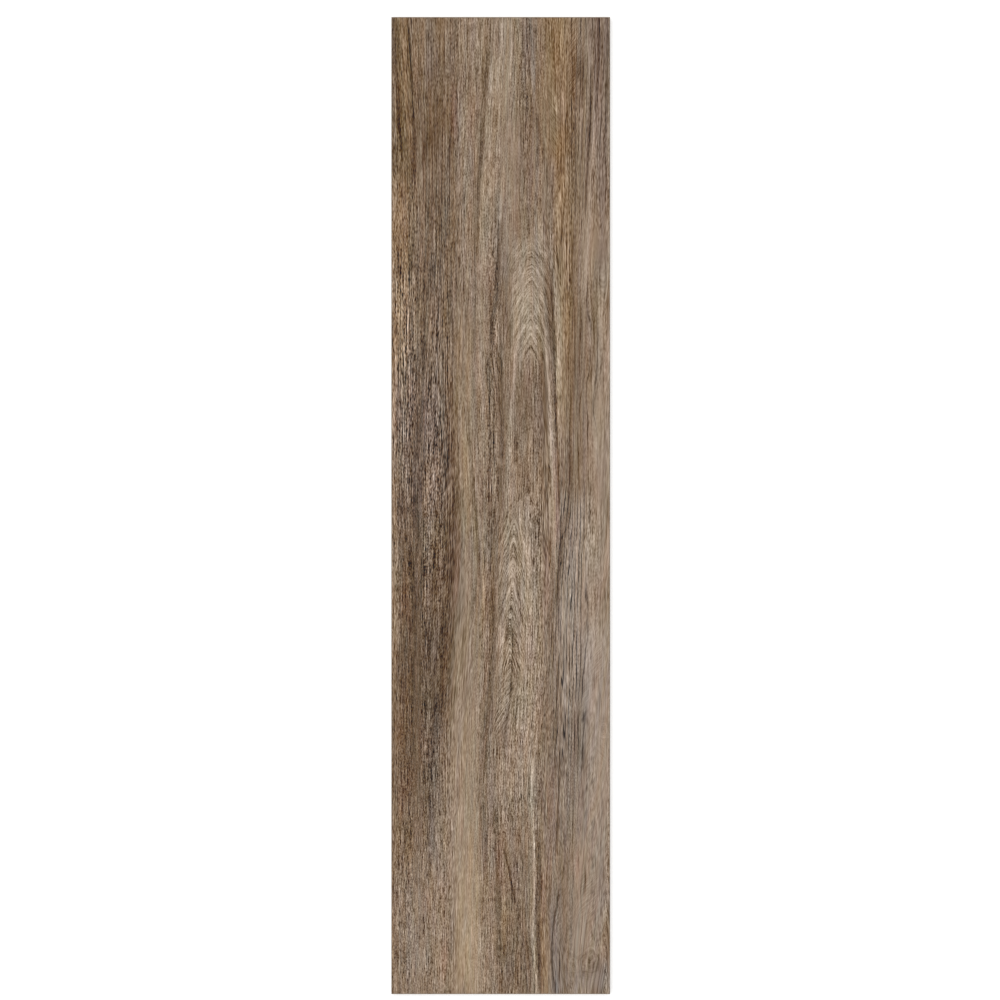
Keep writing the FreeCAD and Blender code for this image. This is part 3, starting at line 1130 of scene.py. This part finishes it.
def printed_glaze():
    """The walking face: a matte glaze printed with wood grain and pressed with its pores."""
    g = Graph(bpy.data.materials.new("printed_glaze"))
    grain, arches = g.field("grain", "Vector"), g.field("arches", "Vector")
    lean, arch, bite = g.field("lean"), g.field("arch"), g.field("bite")
    to_right = g.math("MAXIMUM", lean, 0.0)
    to_left = g.math("MAXIMUM", g.times(lean, -1.0), 0.0)
    in_arches = g.times(arch, FIBRE_IN_ARCHES)
    upright = g.mix(1.0, (to_right, -1.0), (to_left, -1.0), (in_arches, -1.0))
    fibre, pores = 0.0, 0.0
    for weight, lines, shift in (
        (upright, grain, 0.0),
        (to_right, leaning(g, grain, -LEAN), 61.0),
        (to_left, leaning(g, grain, LEAN), 83.0),
        (in_arches, arches, 103.0),
    ):
        own_fibre, own_pores = wood_fibre(g, lines, shift)
        fibre = g.mix(fibre, (own_fibre, weight))
        pores = g.mix(pores, (own_pores, weight))
    rings = g.times(g.noise(arches, 1.2, 26.0, detail=1.0), RING)
    rings = g.mix(rings, (g.noise(arches, 2.8, 50.0, detail=1.0), BROAD_RING))
    fibre = g.times(g.mix(fibre, (rings, arch)), bite)
    fibre = g.mix(fibre, (g.times(fibre, -SKEW), fibre))
    pores = g.times(pores, bite)
    veins = g.times(hairlines(g, grain), g.field("vein"))
    comb = g.times(combed(g, grain), g.field("comb"))
    tone = g.mix(LIFT, (g.field("tone"), 1.0), (fibre, 1.0), (pores, PORE), (veins, VEIN), (comb, COMB))
    warm_drift = g.noise(grain, 5.0, 70.0, shift=53.0, detail=1.0, roughness=0.4)
    warmth = g.mix(g.field("warmth"), (warm_drift, WARM_DRIFT), (veins, VEIN_WARMTH))
    rose_drift = g.noise(grain, 6.0, 60.0, shift=71.0, detail=1.0, roughness=0.4)
    rose = g.mix(g.field("rose"), (rose_drift, ROSE_DRIFT))
    ink = g.vector("ADD", tone, TAUPE)
    ink = g.vector("MULTIPLY_ADD", warmth, WARMER, ink)
    ink = g.vector("MULTIPLY_ADD", rose, ROSIER, ink)
    # from display numbers to the shader's linear ones, less the pale sheen that lies over the print
    whole = 1 + SRGB_OFFSET
    ink = g.vector("MULTIPLY_ADD", ink, (1 / whole,) * 3, (SRGB_OFFSET / whole,) * 3)
    ink = g.vector("MAXIMUM", ink, (0.0,) * 3)
    ink = g.node("Gamma", {"Color": ink, "Gamma": SRGB_POWER}).outputs[0]
    ink = g.vector("MULTIPLY_ADD", ink, (1 / LIGHT,) * 3, (-SHEEN / LIGHT,) * 3)
    ink = g.vector("MAXIMUM", ink, (DARKEST,) * 3)
    roughness = g.mix(0.56, (pores, 0.2))
    height = g.mix(0.0, (fibre, 0.5), (pores, -0.6))
    return g.finish(ink, roughness, specular=0.15, height=height, depth=0.15, strength=0.6)


def mineral_speckle(g):
    """The fired body's own look: fine grains, faint clouds, and a few dark and pale specks."""
    specks = g.node("TexVoronoi", {"Vector": g.place(), "Scale": 420.0}, feature="F1").outputs
    dots = g.math("SUBTRACT", 1.0, g.step(specks["Distance"], 0.08, 0.2))
    tint = g.math("SUBTRACT", specks["Color"], 0.55)
    return g.clouds((1800.0,) * 3), g.clouds((45.0,) * 3, 3.0), g.times(dots, tint)


def ground_body():
    """The ground arris and edges: bare taupe porcelain with the wheel's fine lines."""
    g = Graph(bpy.data.materials.new("ground_body"))
    fine, broad, dots = mineral_speckle(g)
    lines = g.clouds((60.0, 60.0, 4000.0))
    value = g.mix(1.0, (fine, 0.35), (broad, 0.18), (dots, 0.6), (lines, 0.22))
    colour = g.vector("MULTIPLY", linear(132, 116, 99), value)
    height = g.mix(lines, (fine, 0.5))
    return g.finish(colour, g.mix(0.55, (lines, 0.3)), specular=0.3, height=height, depth=0.05, strength=0.5)


def pressed_back():
    """The back: rough pressed body, with a thin pale wash that dries unevenly from the kiln's rollers."""
    g = Graph(bpy.data.materials.new("pressed_back"))
    fine, broad, dots = mineral_speckle(g)
    pale = g.step(g.clouds((9.0, 50.0, 1.0), 4.0), -0.04, 0.16)
    value = g.mix(1.0, (fine, 0.4), (broad, 0.3), (dots, 0.5), (pale, 0.25))
    colour = g.vector("MULTIPLY", linear(142, 127, 110), value)
    height = g.mix(fine, (broad, 0.6))
    return g.finish(colour, g.mix(0.74, (pale, 0.1)), specular=0.25, height=height, depth=0.12, strength=0.7)


# The tile


def add_object(name, data):
    """A new object in the scene."""
    made = bpy.data.objects.new(name, data)
    bpy.context.scene.collection.objects.link(made)
    return made


x, y = face_grid()
# the relief is pressed in shallow streaks, about 6 mm wide and 90 mm long
relief = RELIEF * (0.5 + 0.5 * value_noise(x + 42, y + 270, 6, 90, 5))
mesh = build_tile(grain_fields(x + WIDTH / 2, LENGTH / 2 - y), relief)
for material in (printed_glaze(), ground_body(), pressed_back()):
    mesh.materials.append(material)
tile = add_object("tile", mesh)
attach(tile, "root")
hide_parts(NODE)


# The stage

# The camera's lens and sensor in millimetres, the photo's scale, and its pixel at the plank's middle
LENS = 135.0
SENSOR = 36.0
PIXELS = 1000
MM_PER_PIXEL = 0.9189
CENTRE_PIXEL = (500.74, 505.57)

# The floor: its reach in metres, its grey, and the glow that makes it white to the camera
FLOOR_REACH = 6.0
FLOOR_GREY = 0.84
FLOOR_GLOW = 0.36

# The world's strength as a light. It looks white all the same.
WORLD_LIGHT = 0.5


def background_rays(g):
    """1 for the rays that show the background: the camera's own, and those by way of gloss or glass."""
    rays = g.node("LightPath").outputs
    shown = g.math("MAXIMUM", rays["Is Camera Ray"], rays["Is Glossy Ray"])
    return g.math("MAXIMUM", shown, rays["Is Transmission Ray"])


def make_floor():
    mesh = bpy.data.meshes.new("floor")
    corners = ((-1, -1), (1, -1), (1, 1), (-1, 1))
    mesh.from_pydata([(FLOOR_REACH * i, FLOOR_REACH * j, 0) for i, j in corners], [], [(0, 1, 2, 3)])
    floor = add_object("floor", mesh)
    g = Graph(bpy.data.materials.new("floor"))
    g.shade({"Base Color": (FLOOR_GREY, FLOOR_GREY, FLOOR_GREY, 1), "Roughness": 0.9})
    g.shade({"Specular IOR Level": 0.0, "Emission Strength": background_rays(g)})
    g.shade({"Emission Color": (FLOOR_GLOW, FLOOR_GLOW, FLOOR_GLOW, 1)})
    mesh.materials.append(g.owner)


def make_light(name, direction, softness, strength):
    """A far, soft lamp, which lights the whole plank evenly."""
    light = bpy.data.lights.new(name, "SUN")
    light.angle = math.radians(softness)
    light.energy = strength
    lamp = add_object(name, light)
    lamp.location = direction
    lamp.rotation_euler = (-Vector(direction)).to_track_quat("-Z", "Y").to_euler()


def make_world():
    bpy.context.scene.world = bpy.data.worlds.new("studio")
    g = Graph(bpy.context.scene.world, "Background")
    sockets = {"Value": background_rays(g), "To Min": WORLD_LIGHT, "To Max": 1.0}
    g.shade({"Color": (1, 1, 1, 1), "Strength": g.node("MapRange", sockets).outputs["Result"]})


def make_camera():
    camera_data = bpy.data.cameras.new("camera")
    camera_data.lens = LENS
    camera_data.sensor_width = SENSOR
    camera_data.clip_end = 50
    distance = PIXELS * MM_PER_PIXEL * LENS / SENSOR
    aside = (PIXELS / 2 - CENTRE_PIXEL[0]) * MM_PER_PIXEL
    ahead = (CENTRE_PIXEL[1] - PIXELS / 2) * MM_PER_PIXEL
    camera = add_object("camera", camera_data)
    camera.location = (aside * MM, ahead * MM, (THICKNESS + distance) * MM)
    bpy.context.scene.camera = camera


make_floor()
make_world()
make_light("key", direction=(-0.5, 0.4, 3.0), softness=60.0, strength=1.62)
make_camera()
bpy.context.scene.view_settings.view_transform = "Standard"
